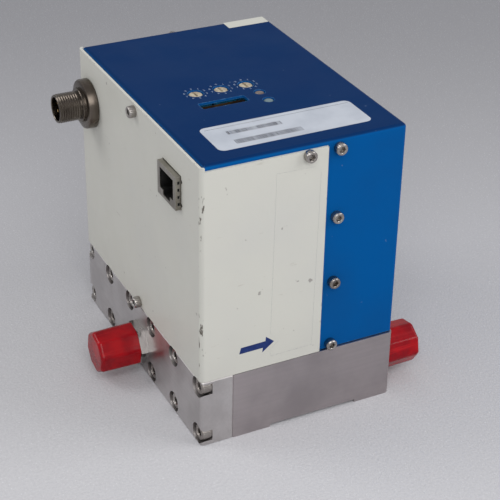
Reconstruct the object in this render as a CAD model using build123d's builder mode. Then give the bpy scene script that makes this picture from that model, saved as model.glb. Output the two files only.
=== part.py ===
from build123d import *
import os

# Flow ratio controller: one inlet, two outlets, electronics under a folded cover.
# X runs along the flow, the front is at -Y, and Z = 0 is the underside of the block.

# Overall sizes
block_length = 84.0
block_depth = 119.0
block_height = 29.7
overall_height = 120.7
block_corner = 1.6
block_edge = 0.35

# Flow axis and the two channels
flow_axis_z = 12.7
passage_r = 2.3

# Inlet block and its bolts
slab_thickness = 13.6
bolt_columns = 6
bolt_end_inset = 3.5
bolt_bottom_inset = 4.4
bolt_top_inset = 3.5
bolt_recess_r = 4.25
bolt_recess_depth = 4.9
bolt_shank_r = 2.0
bolt_clearance = 0.2
bolt_length = 18.0
bolt_head_r = 3.43
bolt_head_height = 4.1
bolt_hex = 3.0

# Ring seals between the inlet block and the body
seal_outer_r = 8.8
seal_inner_r = 6.6
seal_groove_depth = 1.5

# Flow splitters, one in each channel
bypass_bore_r = 6.0
bypass_bore_length = 38.0
bypass_length = 34.0
bypass_end_gap = 0.5
bypass_fins = 12
bypass_fin_depth = 1.6
bypass_fin_width = 0.9

# Face seal fittings and their push-on caps
thread_r = 7.14
gland_length = 12.0
spigot_r = 5.0
spigot_length = 4.0
relief_step = 0.94
relief_length = 1.6
gland_bead_r = 4.4
gland_bead_height = 1.2
gland_bead_round = 1.0
thread_end_chamfer = 0.8
fitting_bore_r = 2.3
inlet_hex = 15.88
inlet_hex_length = 3.2
outlet_shoulder_length = 0.4
cap_sides = 8
cap_turn = 11.0
cap_taper = 0.8
cap_corner_wall = 2.16
cap_corner_round = 2.4
cap_length = 17.0
cap_wall_end = 1.6
cap_end_round = 1.5
cap_bore_clearance = 0.08
cap_seat_gap = 0.3

# Mounting holes in the underside
mount_hole_r = 1.65
mount_hole_depth = 9.0
mount_spacing_x = 38.1
mount_end_inset = 5.5

# Shallow relief along the front edge of the underside
base_relief_x = 7.0
base_relief_length = 38.0
base_relief_height = 1.3
base_relief_depth = 3.0

# Folded covers
sheet = 1.0
cover_lift = 0.2
main_bend = 1.5
side_bend = 1.7
side_edge_gap = 4.7
side_top_gap = 2.0
side_wall_top_gap = 0.5
top_lip = 8.0
top_lip_relief = 1.5
sheet_hole_clearance = 0.15

# Cover screws and what they bite into
screw_shank_r = 1.42
screw_head_r = 2.33
screw_head_height = 2.8
screw_hex = 2.2
screw_length = 6.0
cover_screw_rows = 4
cover_screw_bottom_inset = 2.45
cover_screw_top_inset = 3.7
side_screw_inset = 8.2
tapped_clearance = 0.05
head_chamfer_share = 0.06
hex_depth_share = 0.55
tapped_extra = 1.0
clinch_nut_r = 2.15
clinch_nut_height = 2.4
post_width = 8.0
post_valve_gap = 0.3
post_edge = 0.5
post_top_gap = 0.6
post_spigot_r = 2.0
post_spigot_length = 7.0
bracket_length = 14.0
bracket_width = 8.0
bracket_screw_pitch = 9.0
bracket_screw_length = 12.0
bracket_height = 8.0

# Flow sensors
sensor_seam_inset = 15.4
sensor_base_overhang = 5.25
sensor_screw_inset = 2.6
sensor_base_width = 20.0
sensor_base_height = 9.0
sensor_port_spacing = 14.0
sensor_tube_r = 0.6
sensor_can_end_gap = 1.15
sensor_can_height = 27.0
sensor_can_wall = 1.0
sensor_can_round = 2.5
sensor_can_width = 18.0
sensor_can_edge = 1.2
sensor_base_corner = 2.0
sensor_tube_rise = 20.0
sensor_tube_bend = 3.0
sensor_port_r = 1.2
port_seal_r = 2.4
port_seal_height = 1.0

# Control valves
valve_wall_gap = 0.7
valve_flange = 22.6
valve_flange_height = 5.0
valve_screw_pitch = 17.6
valve_cavity_r = 6.5
valve_cavity_depth = 12.0
valve_seat_r = 1.5
valve_feed_r = 1.2
valve_feed_offset = 4.9
valve_seal_r = 8.2
valve_sleeve_r = 4.6
valve_sleeve_height = 34.0
valve_sleeve_wall = 0.7
coil_r = 10.0
coil_height = 26.0
coil_fit = 0.1
coil_edge = 1.0
valve_flange_corner = 2.0
valve_nut_across = 13.0
valve_nut_height = 4.0
plunger_clearance = 0.06
plunger_length = 28.0
plunger_lift = 0.05
plunger_head_room = 1.6
plunger_edge = 0.4
valve_seal_height = 1.6
valve_seal_wall = 1.6

# Small screws for sensors, valves, boards and bracket
small_shank_r = 1.25
small_head_r = 2.2
small_head_height = 2.4
small_hex = 2.0
sensor_screw_length = 15.0
valve_screw_length = 12.0
board_screw_length = 4.0

# Control board under the top
board_thickness = 1.6
control_board_drop = 11.1
control_board_length = 46.0
control_board_left_inset = 4.4
control_board_front_inset = 10.5
control_board_back_inset = 28.5
board_corner = 1.5
standoff_r = 2.6
standoff_inset = 3.4

# Main board between the posts
main_board_gap = 2.6
main_board_height = 31.0
main_board_edge = 3.6

# Address and rate dials
dial_count = 3
dial_left_inset = 24.2
dial_y = -2.4
dial_r = 2.7
dial_hole_clearance = 0.4
dial_sink = 0.4
dial_slot_width = 0.9
dial_slot_depth = 0.9
switch_width = 9.6
switch_gap = 1.0
switch_height = 6.6
switch_well_depth = 1.6
switch_edge = 0.4
dial_running = 0.04
dial_floor_gap = 0.05
dial_edge = 0.25
dial_slot_reach = 1.7
dial_pointer_r = 1.0

# Status lights
light_left_inset = 47.1
light_y = (-11.0, -18.7)
light_r = 2.0
light_flange_lip = 0.4
light_hole_clearance = 0.25
light_sink = 0.2
light_dome = 0.8
light_flange_gap = 0.3

# Service slot in the top
slot_left_inset = 30.6
slot_y = -13.9
slot_length = 19.2
slot_width = 5.4
slot_corner = 0.8
service_clearance = 0.3
service_sink = 1.6
service_pocket = 3.0
service_wall = 1.0

# Network jack
jack_front_inset = 24.9
jack_board_gap = 0.1
jack_width = 16.2
jack_height = 13.4
jack_proud = 2.2
jack_depth = 17.5
jack_shell = 0.35
jack_mouth_width = 12.0
jack_mouth_height = 8.3
jack_mouth_z = 0.6
jack_mouth_depth = 13.5
jack_latch_width = 6.2
jack_latch_height = 1.9
jack_latch_lap = 0.5
jack_insert_gap = 0.05
jack_slots = 4
jack_slot_pitch = 2.9
jack_slot_in = 1.25
jack_slot_length = 0.9
jack_slot_height = 1.3
jack_contact_reach = 9.5
jack_contact_drop = 2.6
jack_cut_gap = 0.35
jack_notch_r = 0.8
jack_notch_z = 4.8
jack_contacts = 8
jack_contact_pitch = 1.02
jack_contact_width = 0.45

# Round power connector
plug_back_inset = 12.0
plug_drop = 20.1
plug_thread_r = 6.0
plug_thread_length = 10.8
plug_bore_r = 4.9
plug_flange_r = 10.2
plug_flange_length = 4.4
plug_flange_chamfer = 0.8
plug_neck_r = 7.4
plug_neck_length = 8.0
plug_nut_across = 18.0
plug_nut_length = 2.6
plug_insert_depth = 7.5
plug_pins = 4
plug_pin_circle_r = 2.5
plug_pin_r = 0.5
plug_pin_length = 6.0
plug_key_width = 1.1
plug_key_length = 5.0
plug_collar_r = 7.1
plug_collar_length = 1.3
plug_mouth_chamfer = 0.5
plug_insert_length = 9.0

# Derived planes and edges
left_x = -block_length / 2
right_x = block_length / 2
front_y = -block_depth / 2
back_y = block_depth / 2
seam_x = left_x + slab_thickness
cover_low_z = block_height + cover_lift
main_front_y = front_y + sheet
main_back_y = back_y - sheet
main_left_x = left_x + side_bend
main_inner_top_z = overall_height - sheet
valve_x = right_x - sheet - valve_wall_gap - valve_flange / 2
channel_y = main_back_y - sheet - valve_wall_gap - valve_flange / 2
sensor_x = seam_x + sensor_seam_inset
sensor_can_length = sensor_port_spacing + 2 * (sensor_tube_r + sensor_can_end_gap + sensor_can_wall)
sensor_base_length = sensor_can_length + 2 * sensor_base_overhang
relief_r = thread_r - relief_step
cap_corner_r = thread_r + cap_corner_wall
valve_feed_x = valve_x - valve_feed_offset
sensor_top_z = block_height + sensor_base_height
valve_top_z = block_height + valve_flange_height
plunger_low_z = block_height - valve_cavity_depth + plunger_lift
post_face_y = block_depth / 2 - 2 * sheet
bolt_pitch = (block_depth - 2 * bolt_end_inset) / (bolt_columns - 1)
bolt_rows = (bolt_bottom_inset, block_height - bolt_top_inset)
bolt_row_pitch = bolt_rows[1] - bolt_rows[0]
bolt_row_z = (bolt_rows[0] + bolt_rows[1]) / 2
cover_screw_x = valve_x - valve_flange / 2 - post_valve_gap - post_width / 2
cover_screw_low_z = block_height + cover_screw_bottom_inset
cover_screw_high_z = overall_height - cover_screw_top_inset
cover_screw_pitch = (cover_screw_high_z - cover_screw_low_z) / (cover_screw_rows - 1)
cover_screw_zs = [cover_screw_low_z + n * cover_screw_pitch for n in range(cover_screw_rows)]
side_front_reach = cover_screw_x - side_edge_gap - left_x
side_screw_x = left_x + side_front_reach - side_screw_inset
body_length = block_length - slab_thickness
body_x = (seam_x + right_x) / 2
mount_spacing_y = block_depth - 2 * mount_end_inset
control_board_z = overall_height - control_board_drop
control_board_depth = block_depth - control_board_front_inset - control_board_back_inset
control_board_x = left_x + control_board_left_inset + control_board_length / 2
control_board_y = (control_board_front_inset - control_board_back_inset) / 2
main_board_low_z = control_board_z - main_board_gap - main_board_height
dial_x = [left_x + dial_left_inset + n * (switch_width + switch_gap) for n in range(dial_count)]
dial_hole_r = dial_r + dial_hole_clearance
light_x = left_x + light_left_inset
light_flange_r = light_r + light_flange_lip
slot_x = left_x + slot_left_inset
jack_y = front_y + jack_front_inset
jack_z = control_board_z - jack_board_gap - jack_height / 2
plug_y = back_y - plug_back_inset
plug_z = overall_height - plug_drop


def keep(part, name):
    """Label a finished piece and write its STEP file."""
    part.label = name
    export_step(part, f"parts/{name}.step")


def facing(origin, outward):
    """A plane at origin with its normal pointing outward; on a side face its local Y points up."""
    if outward[2]:
        return Plane(origin=origin, z_dir=outward)
    return Plane(origin=origin, x_dir=(-outward[1], outward[0], 0), z_dir=outward)


def cap_screw(head_r, head_height, shank_r, length, hex_across):
    """A socket head cap screw with its seat at Z = 0 and its head above."""
    with BuildPart() as screw:
        with BuildSketch(Plane.XY):
            Circle(head_r)
        extrude(amount=head_height)
        chamfer(screw.edges().group_by(Axis.Z)[-1], length=head_chamfer_share * head_height)
        with BuildSketch(Plane.XY.offset(head_height)):
            RegularPolygon(radius=hex_across / 2, side_count=6, major_radius=False)
        extrude(amount=-hex_depth_share * head_height, mode=Mode.SUBTRACT)
        with BuildSketch(Plane.XY):
            Circle(shank_r)
        extrude(amount=-length)
    return screw.part


def placed(part, planes):
    """Copies of one solid, one on each plane, as a group of separate solids."""
    return Compound(children=[plane.location * part for plane in planes])


def mirrored_pair(name, make):
    """Make a front piece and write it and its mirror image at the rear."""
    front = make()
    keep(front, f"{name}_front")
    keep(mirror(front, about=Plane.XZ), f"{name}_rear")


os.makedirs("parts", exist_ok=True)

bolt_seats = [
    facing((left_x + bolt_recess_depth, front_y + bolt_end_inset + n * bolt_pitch, z), (-1, 0, 0))
    for n in range(bolt_columns)
    for z in bolt_rows
]
cover_screw_seats = [
    facing((cover_screw_x, side * main_back_y, z), (0, side, 0)) for side in (-1, 1) for z in cover_screw_zs
]
side_screw_seats = [
    facing((side_screw_x, front_y, cover_screw_high_z), (0, -1, 0)),
    facing((side_screw_x, back_y, cover_screw_high_z), (0, 1, 0)),
    facing((left_x, 0, cover_screw_high_z), (-1, 0, 0)),
    facing((left_x, 0, cover_screw_low_z), (-1, 0, 0)),
]
valve_screw_spots = [
    (valve_x + sx * valve_screw_pitch / 2, sy * valve_screw_pitch / 2) for sx in (-1, 1) for sy in (-1, 1)
]
sensor_screw_xs = [sensor_x + sx * (sensor_base_length / 2 - sensor_screw_inset) for sx in (-1, 1)]
sensor_port_xs = [sensor_x + sx * sensor_port_spacing / 2 for sx in (-1, 1)]
bracket_x = left_x + sheet + bracket_width / 2
bracket_screw_spots = [(bracket_x, sy * bracket_screw_pitch / 2) for sy in (-1, 1)]
post_y = post_face_y - post_width / 2
board_screw_seats = [
    facing((cover_screw_x - post_width / 2 - board_thickness, side * post_y, z), (-1, 0, 0))
    for side in (-1, 1)
    for z in (main_board_low_z + main_board_edge, main_board_low_z + main_board_height - main_board_edge)
]
standoff_spots = [
    (
        control_board_x + sx * (control_board_length / 2 - standoff_inset),
        control_board_y + sy * (control_board_depth / 2 - standoff_inset),
    )
    for sx in (-1, 1)
    for sy in (-1, 1)
]
jack_cut_width = jack_width + 2 * jack_cut_gap
jack_cut_height = jack_height + 2 * jack_cut_gap
board_top_z = control_board_z + board_thickness
jack_latch_z = jack_mouth_z - (jack_mouth_height + jack_latch_height - jack_latch_lap) / 2


def make_inlet_block():
    """The slab that feeds both channels, with recessed bolts along its edges."""
    with BuildPart() as inlet_block:
        with BuildSketch(Plane.XY):
            with Locations((left_x + slab_thickness / 2, 0)):
                Rectangle(slab_thickness, block_depth)
        extrude(amount=block_height)
        fillet(inlet_block.edges().filter_by(Axis.Z).group_by(Axis.X)[0], radius=block_corner)
        chamfer(inlet_block.faces().sort_by(Axis.X)[-1].edges(), length=block_edge)
        chamfer(inlet_block.faces().sort_by(Axis.X)[0].edges().filter_by(Axis.Y), length=block_edge)
        for seat in bolt_seats:
            with BuildSketch(seat):
                Circle(bolt_recess_r)
            extrude(amount=bolt_recess_depth, mode=Mode.SUBTRACT)
            with BuildSketch(seat):
                Circle(bolt_shank_r + bolt_clearance)
            extrude(amount=-slab_thickness, mode=Mode.SUBTRACT)
        with BuildSketch(facing((left_x, 0, flow_axis_z), (-1, 0, 0))):
            Circle(spigot_r + tapped_clearance)
        extrude(amount=-spigot_length, mode=Mode.SUBTRACT)
        with BuildSketch(facing((left_x, 0, flow_axis_z), (-1, 0, 0))):
            Circle(passage_r)
        extrude(amount=-slab_thickness / 2, mode=Mode.SUBTRACT)
        with BuildSketch(facing((left_x + slab_thickness / 2, -channel_y, flow_axis_z), (0, 1, 0))):
            Circle(passage_r)
        extrude(amount=2 * channel_y, mode=Mode.SUBTRACT)
        for side in (-1, 1):
            with BuildSketch(facing((seam_x, side * channel_y, flow_axis_z), (1, 0, 0))):
                Circle(passage_r)
            extrude(amount=-slab_thickness / 2, mode=Mode.SUBTRACT)
        with Locations(*[Location((x, y, block_height)) for x, y in bracket_screw_spots]):
            Hole(small_shank_r + tapped_clearance, depth=bracket_screw_length - bracket_height + tapped_extra)
    return inlet_block.part


def make_flow_body():
    """The main block, bored for both channels and tapped for all it carries."""
    with BuildPart() as flow_body:
        with BuildSketch(Plane.XY):
            with Locations((body_x, 0)):
                Rectangle(body_length, block_depth)
        extrude(amount=block_height)
        fillet(flow_body.edges().filter_by(Axis.Z).group_by(Axis.X)[-1], radius=block_corner)
        chamfer(flow_body.faces().sort_by(Axis.X)[0].edges(), length=block_edge)
        for seat in bolt_seats:
            tapped_depth = bolt_length + bolt_recess_depth + tapped_extra
            with BuildSketch(facing((left_x, seat.origin.Y, seat.origin.Z), (-1, 0, 0))):
                Circle(bolt_shank_r + tapped_clearance)
            extrude(amount=-tapped_depth, mode=Mode.SUBTRACT)
        for side in (-1, 1):
            channel = side * channel_y
            mouth = facing((seam_x, channel, flow_axis_z), (-1, 0, 0))
            with BuildSketch(mouth):
                Circle(seal_outer_r + tapped_clearance)
            extrude(amount=-seal_groove_depth, mode=Mode.SUBTRACT)
            with BuildSketch(mouth):
                Circle(bypass_bore_r)
            extrude(amount=-bypass_bore_length, mode=Mode.SUBTRACT)
            with BuildSketch(mouth):
                Circle(valve_feed_r)
            extrude(amount=-(valve_feed_x - seam_x), mode=Mode.SUBTRACT)
            outlet = facing((right_x, channel, flow_axis_z), (1, 0, 0))
            with BuildSketch(outlet):
                Circle(passage_r)
            extrude(amount=-(right_x - valve_x), mode=Mode.SUBTRACT)
            with BuildSketch(outlet):
                Circle(spigot_r + tapped_clearance)
            extrude(amount=-spigot_length, mode=Mode.SUBTRACT)
            with Locations((valve_x, channel, block_height)):
                CounterBoreHole(valve_cavity_r, valve_seal_r, valve_seal_height, depth=valve_cavity_depth)
                Hole(valve_seat_r, depth=block_height - flow_axis_z)
            with Locations((valve_feed_x, channel, block_height)):
                Hole(valve_feed_r, depth=block_height - flow_axis_z)
            with Locations(*[Location((x, channel, block_height)) for x in sensor_port_xs]):
                CounterBoreHole(
                    sensor_port_r, port_seal_r + tapped_clearance, port_seal_height, depth=block_height - flow_axis_z
                )
            with Locations(*[Location((x, channel, block_height)) for x in sensor_screw_xs]):
                Hole(small_shank_r + tapped_clearance, depth=sensor_screw_length - sensor_base_height + tapped_extra)
            with Locations(*[Location((x, channel + y, block_height)) for x, y in valve_screw_spots]):
                Hole(small_shank_r + tapped_clearance, depth=valve_screw_length - valve_flange_height + tapped_extra)
            with Locations((cover_screw_x, side * post_y, block_height)):
                Hole(post_spigot_r + tapped_clearance, depth=post_spigot_length + tapped_extra)
        with BuildSketch(Plane.XY):
            with Locations((body_x, 0)):
                with GridLocations(mount_spacing_x, mount_spacing_y, 2, 2):
                    Circle(mount_hole_r)
        extrude(amount=mount_hole_depth, mode=Mode.SUBTRACT)
        with BuildSketch(Plane.XY):
            with Locations((base_relief_x, front_y + base_relief_depth / 2)):
                Rectangle(base_relief_length, base_relief_depth)
        extrude(amount=base_relief_height, mode=Mode.SUBTRACT)
    return flow_body.part


def make_ring(plane, outer_r, inner_r, height):
    """A flat ring that stands up from a plane."""
    with BuildPart() as ring:
        with BuildSketch(plane):
            Circle(outer_r)
            Circle(inner_r, mode=Mode.SUBTRACT)
        extrude(amount=height)
    return ring.part


def make_bypass_element():
    """A fluted rod that splits the flow evenly past the sensor ports."""
    start_x = seam_x + seal_groove_depth + bypass_end_gap
    element_r = bypass_bore_r - tapped_clearance
    with BuildPart() as bypass_element:
        with BuildSketch(facing((start_x, -channel_y, flow_axis_z), (1, 0, 0))):
            Circle(element_r)
            with PolarLocations(element_r, bypass_fins):
                Rectangle(2 * bypass_fin_depth, bypass_fin_width, mode=Mode.SUBTRACT)
        extrude(amount=bypass_length)
    return bypass_element.part


def make_fitting(face, hex_across, shoulder_length):
    """A male face seal fitting: spigot, shoulder, thread relief, thread and sealing bead."""
    with BuildPart() as fitting:
        with BuildSketch(face):
            Circle(spigot_r)
        extrude(amount=-spigot_length)
        with BuildSketch(face):
            if hex_across:
                RegularPolygon(radius=hex_across / 2, side_count=6, major_radius=False)
            else:
                Circle(thread_r)
        extrude(amount=shoulder_length)
        with BuildSketch(face.offset(shoulder_length)):
            Circle(relief_r)
        extrude(amount=relief_length)
        with BuildSketch(face.offset(shoulder_length + relief_length)):
            Circle(thread_r)
        extrude(amount=gland_length - relief_length)
        chamfer(fitting.faces().sort_by(Axis(face.origin, face.z_dir))[-1].edges(), length=thread_end_chamfer)
        with BuildSketch(face.offset(shoulder_length + gland_length)):
            Circle(gland_bead_r)
        extrude(amount=gland_bead_height)
        fillet(fitting.faces().sort_by(Axis(face.origin, face.z_dir))[-1].edges(), radius=gland_bead_round)
        with BuildSketch(face.offset(shoulder_length + gland_length + gland_bead_height)):
            Circle(fitting_bore_r)
        extrude(amount=-(spigot_length + shoulder_length + gland_length + gland_bead_height), mode=Mode.SUBTRACT)
    return fitting.part


def make_cap(face, shoulder_length):
    """A plastic thread protector: eight soft flats, a closed end and a plain bore."""
    seat = face.offset(shoulder_length + cap_seat_gap)
    with BuildPart() as cap:
        with BuildSketch(seat):
            outline = RegularPolygon(radius=cap_corner_r, side_count=cap_sides, rotation=cap_turn)
            fillet(outline.vertices(), radius=cap_corner_round)
        extrude(amount=cap_length, taper=cap_taper)
        fillet(cap.faces().sort_by(Axis(face.origin, face.z_dir))[-1].edges(), radius=cap_end_round)
        with BuildSketch(seat):
            Circle(thread_r + cap_bore_clearance)
        extrude(amount=cap_length - cap_wall_end, mode=Mode.SUBTRACT)
    return cap.part


def make_main_cover():
    """The folded blue cover: top, front, back and right side, with a lip along its open left edge."""
    length = right_x - main_left_x
    height = overall_height - cover_low_z
    with BuildPart() as main_cover:
        with BuildSketch(Plane.XY.offset(cover_low_z)):
            with Locations((main_left_x + length / 2, 0)):
                Rectangle(length, 2 * main_back_y)
        extrude(amount=height)
        outer_folds = (
            main_cover.edges().filter_by(Axis.Z).group_by(Axis.X)[-1]
            + main_cover.faces().sort_by(Axis.Z)[-1].edges()
        )
        fillet(outer_folds, radius=main_bend)
        with BuildPart(mode=Mode.PRIVATE) as hollow:
            with BuildSketch(Plane.XY.offset(cover_low_z - 1)):
                with Locations((main_left_x - 1 + length / 2, 0)):
                    Rectangle(length, 2 * (main_back_y - sheet))
            extrude(amount=height + 1 - sheet)
            inner_folds = (
                hollow.edges().filter_by(Axis.Z).group_by(Axis.X)[-1]
                + hollow.faces().sort_by(Axis.Z)[-1].edges().filter_by(Axis.X)
                + hollow.faces().sort_by(Axis.Z)[-1].edges().filter_by(Axis.Y).sort_by(Axis.X)[-1:]
            )
            fillet(inner_folds, radius=main_bend - sheet)
        add(hollow.part, mode=Mode.SUBTRACT)
        with BuildSketch(facing((main_left_x, 0, main_inner_top_z - top_lip / 2), (1, 0, 0))):
            Rectangle(2 * (main_back_y - sheet - top_lip_relief), top_lip)
        extrude(amount=sheet)
        for seat in cover_screw_seats + side_screw_seats[:2]:
            with BuildSketch(seat):
                Circle(screw_shank_r + sheet_hole_clearance)
            extrude(amount=-3 * sheet, mode=Mode.SUBTRACT)
        with BuildSketch(facing((left_x, 0, cover_screw_high_z), (-1, 0, 0))):
            Circle(screw_shank_r + sheet_hole_clearance)
        extrude(amount=-4 * sheet, mode=Mode.SUBTRACT)
        with BuildSketch(Plane.XY.offset(overall_height)):
            with Locations(*[(x, dial_y) for x in dial_x]):
                Circle(dial_hole_r)
            with Locations(*[(light_x, y) for y in light_y]):
                Circle(light_r + light_hole_clearance)
            with Locations((slot_x, slot_y)):
                RectangleRounded(slot_length, slot_width, slot_corner)
        extrude(amount=-2 * sheet, mode=Mode.SUBTRACT)
    return main_cover.part


def make_side_cover():
    """The folded cream cover: left side with a wing lapping over the front and the back."""
    reach = side_front_reach
    with BuildPart() as side_cover:
        with BuildSketch(Plane.XY.offset(cover_low_z)):
            with Locations((left_x + reach / 2, 0)):
                Rectangle(reach, block_depth)
        extrude(amount=overall_height - side_wall_top_gap - cover_low_z)
        fillet(side_cover.edges().filter_by(Axis.Z).group_by(Axis.X)[0], radius=side_bend)
        with BuildPart(mode=Mode.PRIVATE) as hollow:
            with BuildSketch(Plane.XY.offset(cover_low_z - 1)):
                with Locations((left_x + sheet + reach / 2, 0)):
                    Rectangle(reach, block_depth - 2 * sheet)
            extrude(amount=overall_height)
            fillet(hollow.edges().filter_by(Axis.Z).group_by(Axis.X)[0], radius=side_bend - sheet)
        add(hollow.part, mode=Mode.SUBTRACT)
        with BuildSketch(Plane.XY.offset(overall_height - side_top_gap)):
            with Locations((left_x + side_bend + reach / 2, 0)):
                Rectangle(reach, 2 * block_depth)
        extrude(amount=side_top_gap, mode=Mode.SUBTRACT)
        wall = facing((left_x, 0, 0), (-1, 0, 0))
        with BuildSketch(wall):
            with Locations((-jack_y, jack_z)):
                Rectangle(jack_cut_width, jack_cut_height)
            with Locations((-jack_y + jack_cut_width / 2, jack_z)):
                with GridLocations(0, 2 * jack_notch_z, 1, 2):
                    Circle(jack_notch_r)
            with Locations((-plug_y, plug_z)):
                Circle(plug_neck_r + sheet_hole_clearance)
        extrude(amount=-2 * sheet, mode=Mode.SUBTRACT)
        for seat in side_screw_seats:
            with BuildSketch(seat):
                Circle(screw_shank_r + sheet_hole_clearance)
            extrude(amount=-2 * sheet, mode=Mode.SUBTRACT)
    return side_cover.part


def make_post(side):
    """A square bar that carries the cover screws, with a threaded foot in the block."""
    face_y = side * post_face_y
    with BuildPart() as post:
        with BuildSketch(Plane.XY.offset(block_height)):
            with Locations((cover_screw_x, side * post_y)):
                Rectangle(post_width, post_width)
        extrude(amount=main_inner_top_z - post_top_gap - block_height)
        chamfer(post.edges().filter_by(Axis.Z), length=post_edge)
        with BuildSketch(Plane.XY.offset(block_height)):
            with Locations((cover_screw_x, side * post_y)):
                Circle(post_spigot_r)
        extrude(amount=-post_spigot_length)
        for z in cover_screw_zs:
            with BuildSketch(facing((cover_screw_x, face_y, z), (0, side, 0))):
                Circle(screw_shank_r + tapped_clearance)
            extrude(amount=-(screw_length - sheet + tapped_extra / 2), mode=Mode.SUBTRACT)
        for seat in board_screw_seats:
            if seat.origin.Y * side > 0:
                with BuildSketch(seat):
                    Circle(small_shank_r + tapped_clearance)
                extrude(amount=-(board_screw_length + tapped_extra / 2), mode=Mode.SUBTRACT)
    return post.part


def make_side_bracket():
    """A small block on the inlet block that takes the side cover's lower screw."""
    with BuildPart() as side_bracket:
        with BuildSketch(Plane.XY.offset(block_height)):
            with Locations((bracket_x, 0)):
                Rectangle(bracket_width, bracket_length)
        extrude(amount=bracket_height)
        chamfer(side_bracket.faces().sort_by(Axis.Z)[-1].edges(), length=post_edge)
        with BuildSketch(side_screw_seats[-1]):
            Circle(screw_shank_r + tapped_clearance)
        extrude(amount=-(screw_length + tapped_extra / 2), mode=Mode.SUBTRACT)
        with Locations(*[Location((x, y, block_height + bracket_height)) for x, y in bracket_screw_spots]):
            Hole(small_shank_r + tapped_clearance, depth=bracket_height)
    return side_bracket.part


def make_sensor_base():
    """The steel foot of a flow sensor, bored for its tube and its two screws."""
    with BuildPart() as sensor_base:
        with BuildSketch(Plane.XY.offset(block_height)):
            with Locations((sensor_x, -channel_y)):
                RectangleRounded(sensor_base_length, sensor_base_width, sensor_base_corner)
        extrude(amount=sensor_base_height)
        with Locations(*[Location((x, -channel_y, sensor_top_z)) for x in sensor_port_xs]):
            Hole(sensor_tube_r + tapped_clearance, depth=sensor_base_height)
        with Locations(*[Location((x, -channel_y, sensor_top_z)) for x in sensor_screw_xs]):
            Hole(small_shank_r + tapped_clearance, depth=sensor_base_height)
    return sensor_base.part


def make_sensor_tube():
    """The bent capillary that carries the measured share of the flow."""
    low_z = block_height + port_seal_height
    high_z = sensor_top_z + sensor_tube_rise
    with BuildPart() as sensor_tube:
        with BuildLine(Plane.XZ.offset(channel_y)) as route:
            FilletPolyline(
                (sensor_port_xs[0], low_z),
                (sensor_port_xs[0], high_z),
                (sensor_port_xs[1], high_z),
                (sensor_port_xs[1], low_z),
                radius=sensor_tube_bend,
            )
        with BuildSketch(facing((sensor_port_xs[0], -channel_y, low_z), (0, 0, 1))):
            Circle(sensor_tube_r)
        sweep(path=route.line)
    return sensor_tube.part


def make_sensor_can():
    """The drawn can over the sensor tube."""
    with BuildPart() as sensor_can:
        with BuildSketch(Plane.XY.offset(sensor_top_z)):
            with Locations((sensor_x, -channel_y)):
                RectangleRounded(sensor_can_length, sensor_can_width, sensor_can_round)
        extrude(amount=sensor_can_height)
        fillet(sensor_can.faces().sort_by(Axis.Z)[-1].edges(), radius=sensor_can_edge)
        with BuildSketch(Plane.XY.offset(sensor_top_z)):
            with Locations((sensor_x, -channel_y)):
                RectangleRounded(
                    sensor_can_length - 2 * sensor_can_wall,
                    sensor_can_width - 2 * sensor_can_wall,
                    sensor_can_round - sensor_can_wall,
                )
        extrude(amount=sensor_can_height - sensor_can_wall, mode=Mode.SUBTRACT)
    return sensor_can.part


def make_valve_body():
    """A square flange with the closed sleeve that the plunger runs in."""
    with BuildPart() as valve_body:
        with BuildSketch(Plane.XY.offset(block_height)):
            with Locations((valve_x, -channel_y)):
                RectangleRounded(valve_flange, valve_flange, valve_flange_corner)
        extrude(amount=valve_flange_height)
        with BuildSketch(Plane.XY.offset(valve_top_z)):
            with Locations((valve_x, -channel_y)):
                Circle(valve_sleeve_r)
        extrude(amount=valve_sleeve_height)
        chamfer(valve_body.faces().sort_by(Axis.Z)[-1].edges(), length=valve_sleeve_wall)
        with BuildSketch(Plane.XY.offset(block_height)):
            with Locations((valve_x, -channel_y)):
                Circle(valve_sleeve_r - valve_sleeve_wall)
        extrude(amount=plunger_length + plunger_head_room - (block_height - plunger_low_z), mode=Mode.SUBTRACT)
        with Locations(*[Location((x, y - channel_y, valve_top_z)) for x, y in valve_screw_spots]):
            Hole(small_shank_r + tapped_clearance, depth=valve_flange_height)
    return valve_body.part


def make_valve_coil():
    """The solenoid coil in its round case."""
    with BuildPart() as valve_coil:
        with BuildSketch(Plane.XY.offset(valve_top_z)):
            with Locations((valve_x, -channel_y)):
                Circle(coil_r)
        extrude(amount=coil_height)
        fillet(valve_coil.edges(), radius=coil_edge)
        with Locations((valve_x, -channel_y, valve_top_z + coil_height)):
            Hole(valve_sleeve_r + coil_fit, depth=coil_height)
    return valve_coil.part


def make_valve_nut():
    """The hexagon nut that holds the coil on its sleeve."""
    with BuildPart() as valve_nut:
        with BuildSketch(Plane.XY.offset(valve_top_z + coil_height)):
            with Locations((valve_x, -channel_y)):
                RegularPolygon(radius=valve_nut_across / 2, side_count=6, major_radius=False)
                Circle(valve_sleeve_r + tapped_clearance, mode=Mode.SUBTRACT)
        extrude(amount=valve_nut_height)
    return valve_nut.part


def make_valve_plunger():
    """The steel plunger, hanging just clear of the seat."""
    plunger_r = valve_sleeve_r - valve_sleeve_wall - plunger_clearance
    with BuildPart() as valve_plunger:
        with BuildSketch(Plane.XY.offset(plunger_low_z)):
            with Locations((valve_x, -channel_y)):
                Circle(plunger_r)
        extrude(amount=plunger_length)
        chamfer(valve_plunger.edges(), length=plunger_edge)
    return valve_plunger.part


def make_control_board():
    """The board under the top that carries the dials, lights, service socket and network jack."""
    with BuildPart() as control_board:
        with BuildSketch(Plane.XY.offset(control_board_z)):
            with Locations((control_board_x, control_board_y)):
                RectangleRounded(control_board_length, control_board_depth, board_corner)
            with Locations(*standoff_spots):
                Circle(small_shank_r + sheet_hole_clearance, mode=Mode.SUBTRACT)
        extrude(amount=board_thickness)
    return control_board.part


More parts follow.
